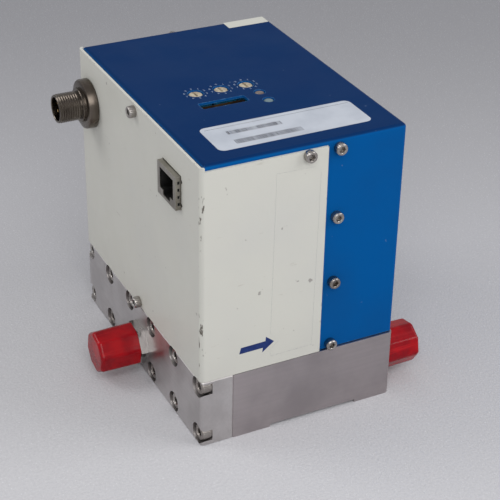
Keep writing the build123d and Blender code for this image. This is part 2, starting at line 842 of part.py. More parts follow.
def make_standoff():
    """A pressed stud between the top of the cover and the control board."""
    with BuildPart() as standoff:
        with BuildSketch(Plane.XY.offset(board_top_z)):
            RegularPolygon(radius=standoff_r, side_count=6, major_radius=False)
            Circle(small_shank_r + tapped_clearance, mode=Mode.SUBTRACT)
        extrude(amount=main_inner_top_z - board_top_z)
    return standoff.part


def make_main_board():
    """The upright board between the two posts."""
    board_x = cover_screw_x - post_width / 2 - board_thickness
    board_depth = 2 * (post_y + main_board_edge)
    with BuildPart() as main_board:
        with BuildSketch(facing((board_x, 0, main_board_low_z + main_board_height / 2), (1, 0, 0))):
            RectangleRounded(board_depth, main_board_height, board_corner)
            for side in (-1, 1):
                with Locations((side * post_y, 0)):
                    with GridLocations(0, main_board_height - 2 * main_board_edge, 1, 2):
                        Circle(small_shank_r + sheet_hole_clearance, mode=Mode.SUBTRACT)
        extrude(amount=board_thickness)
    return main_board.part


def make_switch_body(x):
    """The square housing of one rotary switch, with a round well for its dial."""
    with BuildPart() as switch_body:
        with BuildSketch(Plane.XY.offset(board_top_z)):
            with Locations((x, dial_y)):
                Rectangle(switch_width, switch_width)
        extrude(amount=switch_height)
        chamfer(switch_body.edges().filter_by(Axis.Z), length=switch_edge)
        with Locations((x, dial_y, board_top_z + switch_height)):
            Hole(dial_r + dial_running, depth=switch_well_depth)
    return switch_body.part


def make_dial(x):
    """A slotted dial with a pointer notch at its rim."""
    low_z = board_top_z + switch_height - switch_well_depth + dial_floor_gap
    high_z = overall_height - dial_sink
    with BuildPart() as dial:
        with BuildSketch(Plane.XY.offset(low_z)):
            with Locations((x, dial_y)):
                Circle(dial_r)
        extrude(amount=high_z - low_z)
        chamfer(dial.faces().sort_by(Axis.Z)[-1].edges(), length=dial_edge)
        with BuildSketch(Plane.XY.offset(high_z)):
            with Locations((x, dial_y)):
                Rectangle(dial_slot_width, 2 * dial_slot_reach)
            with Locations((x, dial_y + dial_slot_reach)):
                RegularPolygon(radius=dial_pointer_r, side_count=3, rotation=90)
        extrude(amount=-dial_slot_depth, mode=Mode.SUBTRACT)
    return dial.part


def make_light(y):
    """A domed indicator with a flange that stops under the cover."""
    with BuildPart() as light:
        with BuildSketch(Plane.XY.offset(board_top_z)):
            with Locations((light_x, y)):
                Circle(light_flange_r)
        extrude(amount=main_inner_top_z - light_flange_gap - board_top_z)
        with BuildSketch(Plane.XY.offset(board_top_z)):
            with Locations((light_x, y)):
                Circle(light_r)
        extrude(amount=overall_height - light_sink - board_top_z)
        fillet(light.faces().sort_by(Axis.Z)[-1].edges(), radius=light_dome)
    return light.part


def make_service_socket():
    """The socket behind the slot in the top, set below the cover."""
    top_z = overall_height - service_sink
    with BuildPart() as service_socket:
        with BuildSketch(Plane.XY.offset(board_top_z)):
            with Locations((slot_x, slot_y)):
                Rectangle(slot_length - 2 * service_clearance, slot_width - 2 * service_clearance)
        extrude(amount=top_z - board_top_z)
        with BuildSketch(Plane.XY.offset(top_z)):
            with Locations((slot_x, slot_y)):
                Rectangle(slot_length - 2 * service_wall, slot_width - 2 * service_wall)
        extrude(amount=-service_pocket, mode=Mode.SUBTRACT)
    return service_socket.part


def make_jack_shield():
    """The folded metal shield of the network jack, with spring slots down its sides."""
    front_x = left_x - jack_proud
    face = facing((front_x, jack_y, jack_z), (-1, 0, 0))
    with BuildPart() as shield:
        with BuildSketch(face):
            Rectangle(jack_width, jack_height)
        extrude(amount=-jack_depth)
        with BuildSketch(face.offset(-jack_shell)):
            Rectangle(jack_width - 2 * jack_shell, jack_height - 2 * jack_shell)
        extrude(amount=-jack_depth, mode=Mode.SUBTRACT)
        with BuildSketch(face):
            with Locations((0, jack_mouth_z)):
                Rectangle(jack_mouth_width, jack_mouth_height)
            with Locations((0, jack_latch_z)):
                Rectangle(jack_latch_width, jack_latch_height + jack_latch_lap)
        extrude(amount=-2 * jack_shell, mode=Mode.SUBTRACT)
        with BuildSketch(facing((front_x + jack_slot_in, jack_y, jack_z), (0, -1, 0))):
            with GridLocations(0, jack_slot_pitch, 1, jack_slots):
                Rectangle(jack_slot_length, jack_slot_height)
        extrude(amount=jack_width, both=True, mode=Mode.SUBTRACT)
    return shield.part


def make_jack_insert():
    """The plastic core of the network jack with its plug cavity and latch groove."""
    front_x = left_x - jack_proud + jack_shell
    face = facing((front_x, jack_y, jack_z), (-1, 0, 0))
    fit = 2 * (jack_shell + jack_insert_gap)
    with BuildPart() as insert:
        with BuildSketch(face):
            Rectangle(jack_width - fit, jack_height - fit)
        extrude(amount=-(jack_depth - jack_shell))
        with BuildSketch(face):
            with Locations((0, jack_mouth_z)):
                Rectangle(jack_mouth_width, jack_mouth_height)
            with Locations((0, jack_latch_z)):
                Rectangle(jack_latch_width, jack_latch_height + jack_latch_lap)
        extrude(amount=-jack_mouth_depth, mode=Mode.SUBTRACT)
    return insert.part


def make_jack_contact(n):
    """One spring contact sloping from the roof of the jack down to its back wall."""
    y = jack_y + (n - (jack_contacts - 1) / 2) * jack_contact_pitch - jack_contact_width / 2
    back_x = left_x - jack_proud + jack_shell + jack_mouth_depth
    roof_z = jack_z + jack_mouth_z + jack_mouth_height / 2
    with BuildPart() as contact:
        with BuildSketch(Plane.XZ.offset(-y)):
            with BuildLine():
                Polyline(
                    (back_x - jack_contact_reach, roof_z),
                    (back_x, roof_z - jack_contact_drop),
                    (back_x, roof_z - jack_contact_drop - jack_contact_width),
                    (back_x - jack_contact_reach, roof_z - jack_contact_width),
                    close=True,
                )
            make_face()
        extrude(amount=-jack_contact_width)
    return contact.part


def make_plug_shell():
    """The turned shell of the round connector: threaded barrel, collar, flange and neck."""
    face = facing((left_x, plug_y, plug_z), (-1, 0, 0))
    along = Axis(face.origin, face.z_dir)
    mouth = plug_flange_length + plug_thread_length
    with BuildPart() as plug_shell:
        with BuildSketch(face):
            Circle(plug_flange_r)
        extrude(amount=plug_flange_length)
        chamfer(plug_shell.edges(), length=plug_flange_chamfer)
        with BuildSketch(face):
            Circle(plug_neck_r)
        extrude(amount=-plug_neck_length)
        with BuildSketch(face.offset(plug_flange_length)):
            Circle(plug_collar_r)
        extrude(amount=plug_collar_length)
        with BuildSketch(face.offset(plug_flange_length)):
            Circle(plug_thread_r)
        extrude(amount=plug_thread_length)
        chamfer(plug_shell.faces().sort_by(along)[-1].edges(), length=plug_mouth_chamfer)
        with BuildSketch(face.offset(mouth)):
            Circle(plug_bore_r)
        extrude(amount=-(mouth + plug_neck_length), mode=Mode.SUBTRACT)
        with BuildSketch(face.offset(mouth - plug_mouth_chamfer)):
            with Locations((0, plug_bore_r)):
                Rectangle(plug_key_width, plug_key_width)
        extrude(amount=-plug_key_length)
    return plug_shell.part


def make_plug_insert():
    """The moulded disc that holds the pins."""
    face = facing((left_x - plug_flange_length - plug_thread_length + plug_insert_depth, plug_y, plug_z), (-1, 0, 0))
    with BuildPart() as plug_insert:
        with BuildSketch(face):
            Circle(plug_bore_r - tapped_clearance)
            with PolarLocations(plug_pin_circle_r, plug_pins, start_angle=45):
                Circle(plug_pin_r, mode=Mode.SUBTRACT)
        extrude(amount=-plug_insert_length)
    return plug_insert.part


def make_plug_pins():
    """The straight contact pins, as a group."""
    face = facing((left_x - plug_flange_length - plug_thread_length + plug_insert_depth, plug_y, plug_z), (-1, 0, 0))
    pins = []
    for spot in PolarLocations(plug_pin_circle_r, plug_pins, start_angle=45):
        with BuildPart() as pin:
            with BuildSketch(face.offset(-plug_insert_length)):
                with Locations((spot.position.X, spot.position.Y)):
                    Circle(plug_pin_r)
            extrude(amount=plug_insert_length + plug_pin_length)
        pins.append(pin.part)
    return Compound(children=pins)


def make_plug_nut():
    """The thin nut that clamps the round connector from inside."""
    with BuildPart() as plug_nut:
        with BuildSketch(facing((left_x + sheet, plug_y, plug_z), (1, 0, 0))):
            RegularPolygon(radius=plug_nut_across / 2, side_count=6, major_radius=False, rotation=30)
            Circle(plug_neck_r + tapped_clearance, mode=Mode.SUBTRACT)
        extrude(amount=plug_nut_length)
    return plug_nut.part


# Flow path
keep(make_inlet_block(), "inlet_block")
keep(make_flow_body(), "flow_body")
bolt = cap_screw(bolt_head_r, bolt_head_height, bolt_shank_r, bolt_length, bolt_hex)
keep(placed(bolt, bolt_seats), "inlet_block_screws")
seal_seats = [facing((seam_x, side * channel_y, flow_axis_z), (1, 0, 0)) for side in (-1, 1)]
keep(
    Compound(children=[make_ring(seat, seal_outer_r, seal_inner_r, seal_groove_depth) for seat in seal_seats]),
    "inlet_block_seals",
)
mirrored_pair("bypass_element", make_bypass_element)
inlet_face = facing((left_x, 0, flow_axis_z), (-1, 0, 0))
keep(make_fitting(inlet_face, inlet_hex, inlet_hex_length), "inlet_fitting")
keep(make_cap(inlet_face, inlet_hex_length), "inlet_cap")
for end, side in (("front", -1), ("rear", 1)):
    outlet_face = facing((right_x, side * channel_y, flow_axis_z), (1, 0, 0))
    keep(make_fitting(outlet_face, None, outlet_shoulder_length), f"outlet_fitting_{end}")
    keep(make_cap(outlet_face, outlet_shoulder_length), f"outlet_cap_{end}")

# Sensors and valves
port_seal_seats = [
    Plane((x, side * channel_y, block_height - port_seal_height)) for side in (-1, 1) for x in sensor_port_xs
]
keep(
    Compound(children=[make_ring(seat, port_seal_r, sensor_port_r, port_seal_height) for seat in port_seal_seats]),
    "sensor_seals",
)
mirrored_pair("sensor_base", make_sensor_base)
mirrored_pair("sensor_tube", make_sensor_tube)
mirrored_pair("sensor_can", make_sensor_can)
sensor_screw = cap_screw(small_head_r, small_head_height, small_shank_r, sensor_screw_length, small_hex)
sensor_screw_seats = [Plane((x, side * channel_y, sensor_top_z)) for side in (-1, 1) for x in sensor_screw_xs]
keep(placed(sensor_screw, sensor_screw_seats), "sensor_screws")
valve_seal_seats = [Plane((valve_x, side * channel_y, block_height - valve_seal_height)) for side in (-1, 1)]
valve_seal_outer_r = valve_seal_r - tapped_clearance
keep(
    Compound(
        children=[
            make_ring(seat, valve_seal_outer_r, valve_seal_outer_r - valve_seal_wall, valve_seal_height)
            for seat in valve_seal_seats
        ]
    ),
    "valve_seals",
)
mirrored_pair("valve_body", make_valve_body)
mirrored_pair("valve_coil", make_valve_coil)
mirrored_pair("valve_nut", make_valve_nut)
mirrored_pair("valve_plunger", make_valve_plunger)
valve_screw = cap_screw(small_head_r, small_head_height, small_shank_r, valve_screw_length, small_hex)
valve_screw_seats = [
    Plane((x, y + side * channel_y, valve_top_z)) for side in (-1, 1) for x, y in valve_screw_spots
]
keep(placed(valve_screw, valve_screw_seats), "valve_screws")

# Covers and what holds them
keep(make_post(-1), "front_post")
keep(make_post(1), "rear_post")
keep(make_side_bracket(), "side_bracket")
bracket_screw = cap_screw(small_head_r, small_head_height, small_shank_r, bracket_screw_length, small_hex)
keep(
    placed(bracket_screw, [Plane((x, y, block_height + bracket_height)) for x, y in bracket_screw_spots]),
    "side_bracket_screws",
)
keep(make_main_cover(), "main_cover")
keep(make_side_cover(), "side_cover")
cover_screw = cap_screw(screw_head_r, screw_head_height, screw_shank_r, screw_length, screw_hex)
keep(placed(cover_screw, cover_screw_seats), "main_cover_screws")
keep(placed(cover_screw, side_screw_seats), "side_cover_screws")
clinch_nut_seats = [
    facing((side_screw_x, -(main_back_y - sheet), cover_screw_high_z), (0, 1, 0)),
    facing((side_screw_x, main_back_y - sheet, cover_screw_high_z), (0, -1, 0)),
    facing((main_left_x + sheet, 0, cover_screw_high_z), (1, 0, 0)),
]
keep(
    Compound(
        children=[
            make_ring(seat, clinch_nut_r, screw_shank_r + tapped_clearance, clinch_nut_height)
            for seat in clinch_nut_seats
        ]
    ),
    "clinch_nuts",
)

# Electronics
keep(make_control_board(), "control_board")
keep(placed(make_standoff(), [Plane((x, y, 0)) for x, y in standoff_spots]), "board_standoffs")
board_screw = cap_screw(small_head_r, small_head_height, small_shank_r, board_screw_length, small_hex)
control_screw_seats = [facing((x, y, control_board_z), (0, 0, -1)) for x, y in standoff_spots]
keep(placed(board_screw, control_screw_seats), "control_board_screws")
keep(make_main_board(), "main_board")
keep(placed(board_screw, board_screw_seats), "main_board_screws")
keep(Compound(children=[make_switch_body(x) for x in dial_x]), "rotary_switch_bodies")
for name, x in zip(("rate_dial", "tens_dial", "ones_dial"), dial_x):
    keep(make_dial(x), name)
for name, y in zip(("network_light", "module_light"), light_y):
    keep(make_light(y), name)
keep(make_service_socket(), "service_socket")
keep(make_jack_shield(), "network_jack_shield")
keep(make_jack_insert(), "network_jack_insert")
keep(Compound(children=[make_jack_contact(n) for n in range(jack_contacts)]), "network_jack_contacts")
keep(make_plug_shell(), "connector_shell")
keep(make_plug_insert(), "connector_insert")
keep(make_plug_pins(), "connector_pins")
keep(make_plug_nut(), "connector_nut")
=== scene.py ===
import math
import random

import bmesh
import bpy
from mathutils import Matrix, Vector


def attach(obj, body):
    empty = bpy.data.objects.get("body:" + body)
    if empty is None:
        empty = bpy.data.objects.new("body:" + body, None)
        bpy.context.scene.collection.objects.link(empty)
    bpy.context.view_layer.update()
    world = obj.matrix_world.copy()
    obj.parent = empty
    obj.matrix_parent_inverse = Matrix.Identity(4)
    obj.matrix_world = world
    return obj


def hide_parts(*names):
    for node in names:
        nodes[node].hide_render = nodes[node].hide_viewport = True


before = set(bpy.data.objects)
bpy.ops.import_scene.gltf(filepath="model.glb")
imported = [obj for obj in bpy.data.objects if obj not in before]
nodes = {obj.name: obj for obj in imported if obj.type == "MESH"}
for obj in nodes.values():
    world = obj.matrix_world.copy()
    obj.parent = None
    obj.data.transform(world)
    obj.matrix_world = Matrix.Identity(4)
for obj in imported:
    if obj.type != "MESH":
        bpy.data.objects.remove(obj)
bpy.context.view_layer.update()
mm = 0.001
mainBody = "controller"

# Where the block and covers stand, in millimetres, as in the solids
block = {"left": -42.0, "right": 42.0, "front": -59.5, "back": 59.5, "top": 29.7, "roof": 120.7}
flowAxisHeight = 12.7
channelOffset = 45.5


# Camera, at the angle of the photograph
camera = {
    "spot": (-224.2, -457.9, 347.4),
    "turn": -26.87,
    "dip": 30.59,
    "roll": 1.03,
    "lens": 103.3,
}


def addCamera():
    turn, dip, roll = (math.radians(camera[k]) for k in ("turn", "dip", "roll"))
    ahead = Vector((-math.sin(turn) * math.cos(dip), math.cos(turn) * math.cos(dip), -math.sin(dip)))
    level = Vector((math.cos(turn), math.sin(turn), 0))
    upward = level.cross(ahead)
    right = math.cos(roll) * level + math.sin(roll) * upward
    top = math.cos(roll) * upward - math.sin(roll) * level
    data = bpy.data.cameras.new("camera")
    data.lens = camera["lens"]
    data.sensor_width = 36
    data.clip_start = 0.01
    data.clip_end = 20
    made = bpy.data.objects.new("camera", data)
    bpy.context.scene.collection.objects.link(made)
    made.matrix_world = Matrix((right, top, -ahead)).transposed().to_4x4()
    made.location = Vector(camera["spot"]) * mm
    bpy.context.scene.camera = made


# Node helpers
def startMaterial(name, colour, roughness, metallic=0.0):
    material = bpy.data.materials.new(name)
    material.use_nodes = True
    tree = material.node_tree
    tree.nodes.clear()
    output = tree.nodes.new("ShaderNodeOutputMaterial")
    shader = tree.nodes.new("ShaderNodeBsdfPrincipled")
    shader.inputs["Base Color"].default_value = (*colour, 1)
    shader.inputs["Roughness"].default_value = roughness
    shader.inputs["Metallic"].default_value = metallic
    tree.links.new(shader.outputs[0], output.inputs["Surface"])
    return material, tree, shader


def addNode(tree, kind, **settings):
    made = tree.nodes.new(kind)
    for key, value in settings.items():
        setattr(made, key, value)
    return made


def feed(tree, socket, value):
    if isinstance(value, bpy.types.NodeSocket):
        tree.links.new(value, socket)
    elif isinstance(value, tuple) and len(value) == 3 and socket.type == "RGBA":
        socket.default_value = (*value, 1)
    else:
        socket.default_value = value


def place(tree, stretch=(1, 1, 1), turn=(0, 0, 0)):  # object coordinates, in metres
    coords = addNode(tree, "ShaderNodeTexCoord")
    mapping = addNode(tree, "ShaderNodeMapping")
    mapping.inputs["Scale"].default_value = stretch
    mapping.inputs["Rotation"].default_value = turn
    tree.links.new(coords.outputs["Object"], mapping.inputs["Vector"])
    return mapping.outputs["Vector"]


def noise(tree, vector, scale, detail, roughness=0.5):
    made = addNode(tree, "ShaderNodeTexNoise")
    made.inputs["Scale"].default_value = scale
    made.inputs["Detail"].default_value = detail
    made.inputs["Roughness"].default_value = roughness
    tree.links.new(vector, made.inputs["Vector"])
    return made.outputs["Fac"]


def step(tree, value, low, high, start=0.0, end=1.0):  # a soft step from start to end
    made = addNode(tree, "ShaderNodeMapRange", interpolation_type="SMOOTHSTEP")
    feed(tree, made.inputs["Value"], value)
    for key, number in (("From Min", low), ("From Max", high), ("To Min", start), ("To Max", end)):
        made.inputs[key].default_value = number
    return made.outputs["Result"]


def maths(tree, operation, first, second):
    made = addNode(tree, "ShaderNodeMath", operation=operation)
    feed(tree, made.inputs[0], first)
    feed(tree, made.inputs[1], second)
    return made.outputs[0]


def mixColour(tree, amount, first, second):
    made = addNode(tree, "ShaderNodeMix", data_type="RGBA")
    feed(tree, made.inputs[0], amount)
    feed(tree, made.inputs[6], first)
    feed(tree, made.inputs[7], second)
    return made.outputs[2]


def bump(tree, shader, height, distance, strength=1.0):
    made = addNode(tree, "ShaderNodeBump")
    made.inputs["Strength"].default_value = strength
    made.inputs["Distance"].default_value = distance
    tree.links.new(height, made.inputs["Height"])
    tree.links.new(made.outputs["Normal"], shader.inputs["Normal"])


def edges(tree, radius):  # near 0 on flats, rising on edges
    rounded = addNode(tree, "ShaderNodeBevel", samples=6)
    rounded.inputs["Radius"].default_value = radius
    geometry = addNode(tree, "ShaderNodeNewGeometry")
    dot = addNode(tree, "ShaderNodeVectorMath", operation="DOT_PRODUCT")
    tree.links.new(rounded.outputs["Normal"], dot.inputs[0])
    tree.links.new(geometry.outputs["True Normal"], dot.inputs[1])
    return maths(tree, "SUBTRACT", 1.0, dot.outputs["Value"])


def axisOf(tree, axis, source="Object"):  # one axis of the object coordinates or of the normal
    coords = addNode(tree, "ShaderNodeTexCoord")
    split = addNode(tree, "ShaderNodeSeparateXYZ")
    tree.links.new(coords.outputs[source], split.inputs[0])
    return split.outputs[axis]


# Painted covers
paint = {
    "blueSide": (0.001, 0.082, 0.285),
    # painted shade: the same blue paint, coloured darker for the lesser light on the top
    "blueTopShaded": (0.003, 0.025, 0.100),
    "blueCloud": (0.008, 0.038, 0.12),
    # lighter edges: partly worn paint, partly a painted highlight on the bends
    "blueWearAndHighlight": (0.10, 0.24, 0.46),
    "blueSpeck": (0.16, 0.22, 0.33),
    "blueEdge": 0.0007,
    "blueShine": 0.02,
    "cream": (0.57, 0.565, 0.515),
    "creamCloud": (0.53, 0.525, 0.50),
    "creamLower": (0.47, 0.455, 0.41),
    "creamSmear": (0.36, 0.33, 0.28),
    "creamChip": (0.10, 0.085, 0.07),
    "creamSpeck": (0.22, 0.20, 0.19),
    "creamEdge": 0.0008,
    "creamShine": 0.3,
    "darkerBelow": (0.030, 0.055),  # heights over which the cream turns darker towards the bottom, in patches
    "bendStart": -0.0997,  # X plus Y, lower than this only on the near bend
    "bendFade": 0.0004,
    "peel": 900.0,
    "peelDepth": 0.00002,
}


def bluePaint():
    material, tree, shader = startMaterial("blue paint", paint["blueSide"], 0.4)
    spot = place(tree)
    # Upward faces take the darker blue: painted shade on the top, not a different paint
    topShadeMask = step(tree, axisOf(tree, "Z", "Normal"), 0.3, 0.8)
    colour = mixColour(tree, topShadeMask, paint["blueSide"], paint["blueTopShaded"])
    cloud = step(tree, noise(tree, spot, 28, 4), 0.35, 0.7, 0.0, 0.22)
    colour = mixColour(tree, cloud, colour, paint["blueCloud"])
    wearSpots = step(tree, noise(tree, spot, 700, 5, 0.6), 0.50, 0.60)
    edge = step(tree, edges(tree, paint["blueEdge"]), 0.06, 0.22)
    # Lighter blue on the edges: partly worn paint, partly a painted highlight where the bends catch the light
    worn = maths(tree, "MULTIPLY", edge, maths(tree, "ADD", maths(tree, "MULTIPLY", wearSpots, 0.6), 0.25))
    colour = mixColour(tree, worn, colour, paint["blueWearAndHighlight"])
    specks = step(tree, noise(tree, spot, 420, 2), 0.76, 0.80, 0.0, 0.35)
    colour = mixColour(tree, specks, colour, paint["blueSpeck"])
    tree.links.new(colour, shader.inputs["Base Color"])
    tree.links.new(step(tree, noise(tree, spot, 60, 4), 0.3, 0.7, 0.34, 0.48), shader.inputs["Roughness"])
    shader.inputs["Specular IOR Level"].default_value = paint["blueShine"]
    bump(tree, shader, noise(tree, spot, paint["peel"], 2), paint["peelDepth"])
    return material


def creamPaint():
    material, tree, shader = startMaterial("cream paint", paint["cream"], 0.45)
    spot = place(tree)
    cloud = step(tree, noise(tree, spot, 22, 5, 0.55), 0.42, 0.75, 0.0, 0.5)
    colour = mixColour(tree, cloud, paint["cream"], paint["creamCloud"])
    # The cream turns darker towards its bottom edge, broken up by noise
    low = step(tree, axisOf(tree, "Z"), *paint["darkerBelow"], 0.35, 0.0)
    lowerDarkening = maths(tree, "MULTIPLY", low, noise(tree, spot, 90, 4))
    colour = mixColour(tree, lowerDarkening, colour, paint["creamLower"])
    smear = noise(tree, place(tree, (1, 1, 4), (0.2, 0.5, 0.1)), 120, 5, 0.6)
    colour = mixColour(tree, step(tree, smear, 0.66, 0.74, 0.0, 0.35), colour, paint["creamSmear"])
    edge = step(tree, edges(tree, paint["creamEdge"]), 0.05, 0.2)
    chips = step(tree, noise(tree, place(tree, (1, 1, 0.45)), 520, 4, 0.6), 0.60, 0.66)
    colour = mixColour(tree, maths(tree, "MULTIPLY", edge, chips), colour, paint["creamChip"])
    across = maths(tree, "ADD", axisOf(tree, "X"), axisOf(tree, "Y"))
    bend = step(tree, across, paint["bendStart"], paint["bendStart"] - paint["bendFade"])
    worn = step(tree, noise(tree, place(tree, (1, 1, 0.3)), 480, 4, 0.6), 0.57, 0.61)
    colour = mixColour(tree, maths(tree, "MULTIPLY", bend, worn), colour, paint["creamChip"])
    specks = step(tree, noise(tree, spot, 260, 2), 0.73, 0.77, 0.0, 0.7)
    colour = mixColour(tree, specks, colour, paint["creamSpeck"])
    tree.links.new(colour, shader.inputs["Base Color"])
    tree.links.new(step(tree, noise(tree, spot, 70, 4), 0.3, 0.7, 0.38, 0.55), shader.inputs["Roughness"])
    shader.inputs["Specular IOR Level"].default_value = paint["creamShine"]
    bump(tree, shader, noise(tree, spot, paint["peel"], 2), paint["peelDepth"])
    return material


# Metals: one recipe, each with its own colour, grain and lighter edge, partly rubbed metal and partly a painted
# highlight
edgeWearAndHighlight = 0.00035
metals = {
    "block steel": {"colour": (0.46, 0.415, 0.42), "shade": (0.37, 0.335, 0.34), "roughness": (0.30, 0.42),
                    "grain": (8, 900, 900), "depth": 0.000012, "edge": (0.62, 0.60, 0.59)},
    "slab steel": {"colour": (0.60, 0.575, 0.57), "shade": (0.46, 0.435, 0.43), "roughness": (0.30, 0.44),
                   "grain": (900, 12, 900), "depth": 0.000014, "edge": (0.66, 0.64, 0.62)},
    "screw steel": {"colour": (0.46, 0.44, 0.42), "shade": (0.25, 0.22, 0.20), "roughness": (0.22, 0.38),
                    "grain": (500, 500, 500), "depth": 0.000006, "edge": (0.7, 0.68, 0.65)},
    "fitting steel": {"colour": (0.50, 0.48, 0.46), "shade": (0.36, 0.34, 0.33), "roughness": (0.16, 0.30),
                      "grain": (400, 400, 400), "depth": 0.000005, "edge": (0.72, 0.70, 0.68)},
    "sensor steel": {"colour": (0.48, 0.47, 0.46), "shade": (0.38, 0.37, 0.36), "roughness": (0.26, 0.40),
                     "grain": (300, 300, 20), "depth": 0.000008, "edge": (0.68, 0.66, 0.64)},
    "valve steel": {"colour": (0.40, 0.39, 0.39), "shade": (0.30, 0.29, 0.29), "roughness": (0.26, 0.42),
                    "grain": (300, 300, 20), "depth": 0.000008, "edge": (0.62, 0.60, 0.6)},
    "frame aluminium": {"colour": (0.62, 0.62, 0.63), "shade": (0.50, 0.50, 0.51), "roughness": (0.34, 0.50),
                        "grain": (600, 600, 30), "depth": 0.00001, "edge": (0.8, 0.8, 0.8)},
    "jack metal": {"colour": (0.40, 0.38, 0.34), "shade": (0.22, 0.20, 0.17), "roughness": (0.28, 0.46),
                   "grain": (500, 500, 500), "depth": 0.000008, "edge": (0.66, 0.64, 0.60)},
    "connector metal": {"colour": (0.17, 0.145, 0.12), "shade": (0.08, 0.065, 0.055), "roughness": (0.20, 0.34),
                        "grain": (700, 30, 30), "depth": 0.000006, "edge": (0.5, 0.47, 0.42)},
    "contact gold": {"colour": (0.72, 0.50, 0.20), "shade": (0.55, 0.36, 0.14), "roughness": (0.20, 0.34),
                     "grain": (300, 300, 300), "depth": 0.000004, "edge": (0.85, 0.65, 0.3)},
}


def metal(name):
    look = metals[name]
    material, tree, shader = startMaterial(name, look["colour"], look["roughness"][0], 1.0)
    spot = place(tree)
    blotch = step(tree, noise(tree, spot, 55, 4, 0.55), 0.3, 0.75)
    colour = mixColour(tree, blotch, look["colour"], look["shade"])
    grain = noise(tree, place(tree, look["grain"]), 1.0, 3)
    colour = mixColour(tree, step(tree, grain, 0.35, 0.7, 0.0, 0.25), colour, look["shade"])
    # Lighter edges: partly rubbed metal, partly a painted highlight on the chamfers
    colour = mixColour(tree, step(tree, edges(tree, edgeWearAndHighlight), 0.05, 0.3, 0.0, 0.7), colour, look["edge"])
    tree.links.new(colour, shader.inputs["Base Color"])
    rough = step(tree, noise(tree, spot, 90, 4), 0.3, 0.7, *look["roughness"])
    tree.links.new(rough, shader.inputs["Roughness"])
    bump(tree, shader, grain, look["depth"])
    return material


# Plastics, rubber, boards, inks and papers
plasticShine = 0.2
plastics = {
    "coil black": {"colour": (0.012, 0.012, 0.014), "shade": (0.03, 0.03, 0.032),
                   "roughness": 0.5, "scale": 300, "depth": 0.00004},
    "seal rubber": {"colour": (0.010, 0.010, 0.010), "shade": (0.025, 0.024, 0.023),
                    "roughness": 0.7, "scale": 500, "depth": 0.00003},
    "board green": {"colour": (0.01, 0.09, 0.045), "shade": (0.02, 0.16, 0.07),
                    "roughness": 0.35, "scale": 160, "depth": 0.00002},
    "dial cream": {"colour": (0.50, 0.44, 0.33), "shade": (0.33, 0.27, 0.19),
                   "roughness": 0.45, "scale": 500, "depth": 0.00002},
    "switch blue": {"colour": (0.02, 0.30, 0.55), "shade": (0.02, 0.20, 0.42),
                    "roughness": 0.4, "scale": 400, "depth": 0.00002},
    "socket black": {"colour": (0.020, 0.013, 0.008), "shade": (0.05, 0.028, 0.012),
                     "roughness": 0.35, "scale": 200, "depth": 0.00003},
    "jack black": {"colour": (0.008, 0.008, 0.008), "shade": (0.02, 0.019, 0.018),
                   "roughness": 0.45, "scale": 300, "depth": 0.00003},
    "connector black": {"colour": (0.008, 0.008, 0.009), "shade": (0.02, 0.02, 0.02),
                        "roughness": 0.5, "scale": 300, "depth": 0.00003},
    "network lens": {"colour": (0.20, 0.165, 0.15), "shade": (0.12, 0.09, 0.08),
                     "roughness": 0.25, "scale": 500, "depth": 0.00001},
    "module lens": {"colour": (0.15, 0.21, 0.23), "shade": (0.09, 0.13, 0.14),
                    "roughness": 0.25, "scale": 500, "depth": 0.00001},
    "navy ink": {"colour": (0.008, 0.022, 0.115), "shade": (0.014, 0.034, 0.15),
                 "roughness": 0.4, "scale": 900, "depth": 0.000004},
    "white ink": {"colour": (0.32, 0.38, 0.50), "shade": (0.20, 0.27, 0.40),
                  "roughness": 0.45, "scale": 1400, "depth": 0.000004},
    "black ink": {"colour": (0.03, 0.03, 0.045), "shade": (0.06, 0.06, 0.075),
                  "roughness": 0.45, "scale": 900, "depth": 0.000004},
    "label paper": {"colour": (0.50, 0.53, 0.59), "shade": (0.43, 0.46, 0.52),
                    "roughness": 0.35, "scale": 90, "depth": 0.00002},
}


def plastic(name):
    look = plastics[name]
    material, tree, shader = startMaterial(name, look["colour"], look["roughness"])
    spot = place(tree)
    grain = noise(tree, spot, look["scale"], 4, 0.55)
    colour = mixColour(tree, step(tree, grain, 0.35, 0.7), look["colour"], look["shade"])
    tree.links.new(colour, shader.inputs["Base Color"])
    shader.inputs["Specular IOR Level"].default_value = plasticShine
    low, high = look["roughness"] * 0.85, look["roughness"] * 1.2
    tree.links.new(step(tree, noise(tree, spot, 120, 3), 0.3, 0.7, low, high), shader.inputs["Roughness"])
    bump(tree, shader, grain, look["depth"])
    return material


capLook = {
    "colour": (0.36, 0.001, 0.005),
    "deep": (0.20, 0.001, 0.006),
    # painted highlight along the streaks
    "light": (0.58, 0.015, 0.02),
    "shine": 0.22,
    "glow": 0.02,
    "glowReach": (0.002, 0.0004, 0.0003),
    "streakDepth": 0.00003,
}


def redPlastic():
    material, tree, shader = startMaterial("red plastic", capLook["colour"], 0.2)
    spot = place(tree)
    cloud = step(tree, noise(tree, spot, 120, 3), 0.3, 0.7)
    colour = mixColour(tree, cloud, capLook["colour"], capLook["deep"])
    streaks = noise(tree, place(tree, (30, 700, 700)), 1.0, 2)
    # Lighter streaks along the caps: painted highlights, as glossy plastic would show
    colour = mixColour(tree, step(tree, streaks, 0.62, 0.72, 0.0, 0.35), colour, capLook["light"])
    tree.links.new(colour, shader.inputs["Base Color"])
    tree.links.new(step(tree, streaks, 0.3, 0.7, 0.13, 0.26), shader.inputs["Roughness"])
    shader.inputs["Specular IOR Level"].default_value = capLook["shine"]
    shader.inputs["Subsurface Weight"].default_value = capLook["glow"]
    shader.inputs["Subsurface Radius"].default_value = capLook["glowReach"]
    shader.inputs["Subsurface Scale"].default_value = 1.0
    bump(tree, shader, streaks, capLook["streakDepth"])
    return material


